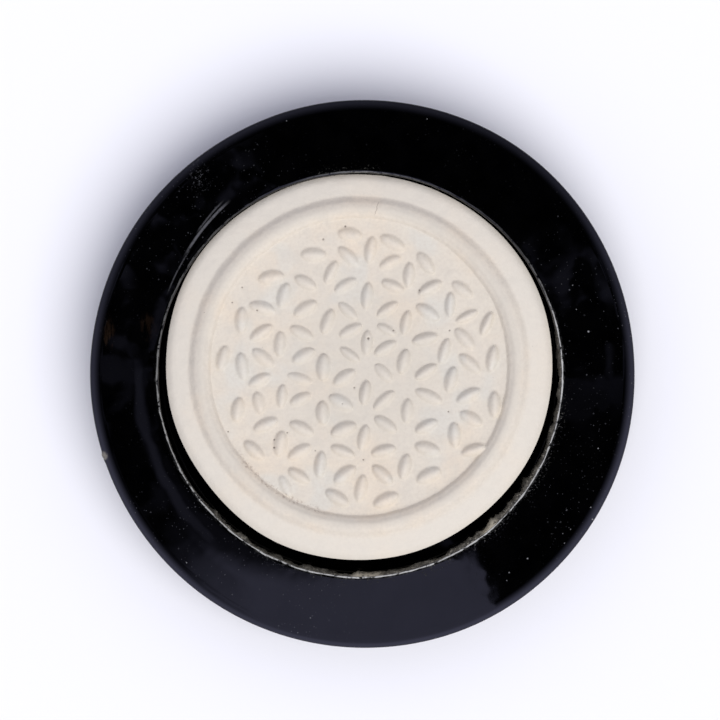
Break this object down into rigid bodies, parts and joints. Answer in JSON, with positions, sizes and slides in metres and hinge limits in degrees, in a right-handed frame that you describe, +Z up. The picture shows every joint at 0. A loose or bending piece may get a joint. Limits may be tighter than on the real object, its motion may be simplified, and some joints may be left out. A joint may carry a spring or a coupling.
{
  "type": "ink stick",
  "caption": "Round moulded ink cake with a raised band and a field of small oblong bumps, lying loose in the well of a round black-glazed dish.",
  "frame": {"origin": "centre of the bottom of the dish's foot ring, on the axis of the dish's outer edge", "axes": "+Z up out of the well; +X to the right and +Y to the top of the reference view, which looks straight down"},
  "size_m": [0.0904, 0.0904, 0.0147],
  "materials": {
    "glaze": "gloss",
    "cake": "matte"
  },
  "bodies": {
    "dish": {"dish": "glaze"},
    "cake": {"ink_cake": "cake"}
  },
  "joints": [
    {"name": "cake_lift", "type": "slide", "parent": "dish", "child": "cake", "axis": [0, 0, 1], "range_m": [0, 0.025]}
  ]
}
